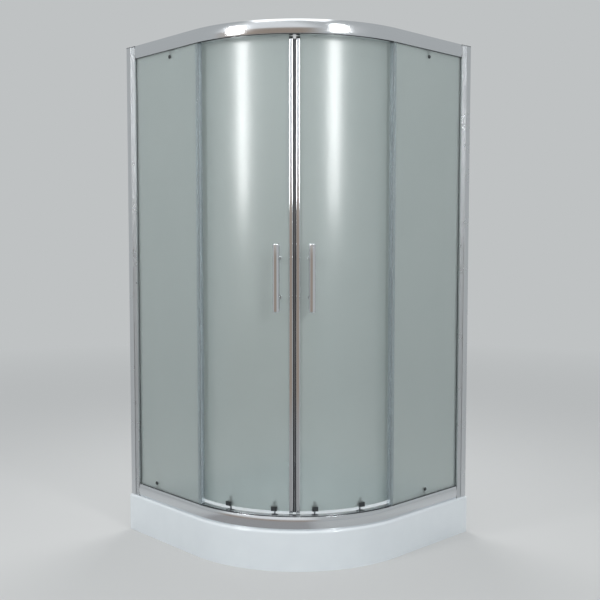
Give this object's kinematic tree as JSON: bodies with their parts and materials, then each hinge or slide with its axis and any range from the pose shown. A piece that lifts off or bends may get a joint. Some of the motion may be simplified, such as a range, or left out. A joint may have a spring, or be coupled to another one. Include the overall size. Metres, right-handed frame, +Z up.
{
  "type": "quadrant shower enclosure",
  "caption": "Corner shower enclosure with a low curved tray, fixed side panes and curved frosted glass doors that slide open from the middle of the bow.",
  "frame": {"origin": "on the floor under the middle of the enclosure's plan", "axes": "+Z up, -X towards the left wall, +Y towards the right wall; the room corner is at -X +Y and the doors face +X -Y"},
  "size_m": [1, 1, 2],
  "materials": {
    "white_acrylic": "gloss",
    "base_board": "matt",
    "foot_rubber": "matt",
    "gasket_rubber": "matt",
    "zinc_steel": "satin",
    "stainless_steel": "satin",
    "spring_steel": "satin",
    "chrome_rail": "polished",
    "chrome_fitting": "polished",
    "satin_aluminium": "satin",
    "frosted_glass": "satin",
    "clear_seal": "gloss",
    "magnet_strip": "satin",
    "dark_plastic": "satin",
    "grey_plastic": "satin",
    "nylon": "satin",
    "trap_plastic": "satin"
  },
  "bodies": {
    "enclosure": {"bottom_rail": "chrome_rail", "clip_screws": "dark_plastic", "edge_seals": "clear_seal", "fixed_glass_left": "frosted_glass", "fixed_glass_right": "frosted_glass", "foot_pads": "foot_rubber", "foot_studs": "zinc_steel", "glass_clips": "zinc_steel", "glazing_gaskets": "gasket_rubber", "post_screws": "zinc_steel", "profile_caps": "grey_plastic", "rail_end_blocks": "dark_plastic", "rail_screws": "zinc_steel", "shower_tray": "white_acrylic", "side_post_left": "satin_aluminium", "side_post_right": "satin_aluminium", "top_rail": "chrome_rail", "track_stops": "gasket_rubber", "tray_base_board": "base_board", "wall_profile_left": "satin_aluminium", "wall_profile_right": "satin_aluminium", "waste_ring": "chrome_fitting", "waste_trap": "trap_plastic"},
    "waste_cover": {"waste_cover": "chrome_fitting"},
    "left_door": {"left_closing_caps": "dark_plastic", "left_closing_profile": "chrome_fitting", "left_door_glass": "frosted_glass", "left_handle": "chrome_fitting", "left_handle_screws": "zinc_steel", "left_hanger_axles": "zinc_steel", "left_hanger_sleeves": "zinc_steel", "left_hangers": "stainless_steel", "left_magnet_seal": "magnet_strip", "left_rear_seal": "clear_seal", "left_release_springs": "spring_steel", "left_roller_housings": "dark_plastic"},
    "left_rear_top_wheel": {"left_rear_top_wheel": "nylon"},
    "left_rear_guide_stem": {"left_rear_guide_stem": "zinc_steel"},
    "left_rear_guide_wheel": {"left_rear_guide_wheel": "nylon"},
    "left_front_top_wheel": {"left_front_top_wheel": "nylon"},
    "left_front_guide_stem": {"left_front_guide_stem": "zinc_steel"},
    "left_front_guide_wheel": {"left_front_guide_wheel": "nylon"},
    "right_door": {"right_closing_caps": "dark_plastic", "right_closing_profile": "chrome_fitting", "right_door_glass": "frosted_glass", "right_handle": "chrome_fitting", "right_handle_screws": "zinc_steel", "right_hanger_axles": "zinc_steel", "right_hanger_sleeves": "zinc_steel", "right_hangers": "stainless_steel", "right_magnet_seal": "magnet_strip", "right_rear_seal": "clear_seal", "right_release_springs": "spring_steel", "right_roller_housings": "dark_plastic"},
    "right_rear_top_wheel": {"right_rear_top_wheel": "nylon"},
    "right_rear_guide_stem": {"right_rear_guide_stem": "zinc_steel"},
    "right_rear_guide_wheel": {"right_rear_guide_wheel": "nylon"},
    "right_front_top_wheel": {"right_front_top_wheel": "nylon"},
    "right_front_guide_stem": {"right_front_guide_stem": "zinc_steel"},
    "right_front_guide_wheel": {"right_front_guide_wheel": "nylon"}
  },
  "joints": [
    {"name": "waste_cover_lift", "type": "slide", "parent": "enclosure", "child": "waste_cover", "axis": [0, 0, 1], "range_m": [0, 0.05]},
    {"name": "left_door_travel", "type": "hinge", "parent": "enclosure", "child": "left_door", "pos_m": [-0.0763, 0.1335, 0], "axis": [0, 0, -1], "range_deg": [0, 23.7]},
    {"name": "left_rear_top_wheel_spin", "type": "hinge", "parent": "left_door", "child": "left_rear_top_wheel", "pos_m": [0.07344, -0.44509, 1.9633], "axis": [0.2419, -0.9703, 0], "range_deg": [0, 1291]},
    {"name": "left_rear_release", "type": "slide", "parent": "left_door", "child": "left_rear_guide_stem", "axis": [0, 0, -1], "range_m": [0, 0.006], "stiffness_N_per_m": 400, "springref_m": -0.005, "deforming": ["left_release_springs"]},
    {"name": "left_rear_guide_wheel_spin", "type": "hinge", "parent": "left_rear_guide_stem", "child": "left_rear_guide_wheel", "pos_m": [0.07344, -0.44509, 0.1887], "axis": [0.2419, -0.9703, 0], "range_deg": [-1577, 0]},
    {"name": "left_front_top_wheel_spin", "type": "hinge", "parent": "left_door", "child": "left_front_top_wheel", "pos_m": [0.24992, -0.3628, 1.9633], "axis": [0.5878, -0.809, 0], "range_deg": [0, 1283]},
    {"name": "left_front_release", "type": "slide", "parent": "left_door", "child": "left_front_guide_stem", "axis": [0, 0, -1], "range_m": [0, 0.006], "stiffness_N_per_m": 400, "springref_m": -0.005, "deforming": ["left_release_springs"]},
    {"name": "left_front_guide_wheel_spin", "type": "hinge", "parent": "left_front_guide_stem", "child": "left_front_guide_wheel", "pos_m": [0.24992, -0.3628, 0.1887], "axis": [0.5878, -0.809, 0], "range_deg": [-1567, 0]},
    {"name": "right_door_travel", "type": "hinge", "parent": "enclosure", "child": "right_door", "pos_m": [-0.1335, 0.0763, 0], "axis": [0, 0, 1], "range_deg": [0, 23.7]},
    {"name": "right_rear_top_wheel_spin", "type": "hinge", "parent": "right_door", "child": "right_rear_top_wheel", "pos_m": [0.44509, -0.07344, 1.9633], "axis": [0.9703, -0.2419, 0], "range_deg": [-1291, 0]},
    {"name": "right_rear_release", "type": "slide", "parent": "right_door", "child": "right_rear_guide_stem", "axis": [0, 0, -1], "range_m": [0, 0.006], "stiffness_N_per_m": 400, "springref_m": -0.005, "deforming": ["right_release_springs"]},
    {"name": "right_rear_guide_wheel_spin", "type": "hinge", "parent": "right_rear_guide_stem", "child": "right_rear_guide_wheel", "pos_m": [0.44509, -0.07344, 0.1887], "axis": [0.9703, -0.2419, 0], "range_deg": [0, 1577]},
    {"name": "right_front_top_wheel_spin", "type": "hinge", "parent": "right_door", "child": "right_front_top_wheel", "pos_m": [0.3628, -0.24992, 1.9633], "axis": [0.809, -0.5878, 0], "range_deg": [-1283, 0]},
    {"name": "right_front_release", "type": "slide", "parent": "right_door", "child": "right_front_guide_stem", "axis": [0, 0, -1], "range_m": [0, 0.006], "stiffness_N_per_m": 400, "springref_m": -0.005, "deforming": ["right_release_springs"]},
    {"name": "right_front_guide_wheel_spin", "type": "hinge", "parent": "right_front_guide_stem", "child": "right_front_guide_wheel", "pos_m": [0.3628, -0.24992, 0.1887], "axis": [0.809, -0.5878, 0], "range_deg": [0, 1567]}
  ],
  "couplings": [
    {"joint": "left_rear_top_wheel_spin", "follows": "left_door_travel", "ratio": 54.332},
    {"joint": "left_rear_guide_wheel_spin", "follows": "left_door_travel", "ratio": -66.406},
    {"joint": "left_front_top_wheel_spin", "follows": "left_door_travel", "ratio": 53.992},
    {"joint": "left_front_guide_wheel_spin", "follows": "left_door_travel", "ratio": -65.99},
    {"joint": "right_rear_top_wheel_spin", "follows": "right_door_travel", "ratio": -54.332},
    {"joint": "right_rear_guide_wheel_spin", "follows": "right_door_travel", "ratio": 66.406},
    {"joint": "right_front_top_wheel_spin", "follows": "right_door_travel", "ratio": -53.992},
    {"joint": "right_front_guide_wheel_spin", "follows": "right_door_travel", "ratio": 65.99}
  ]
}
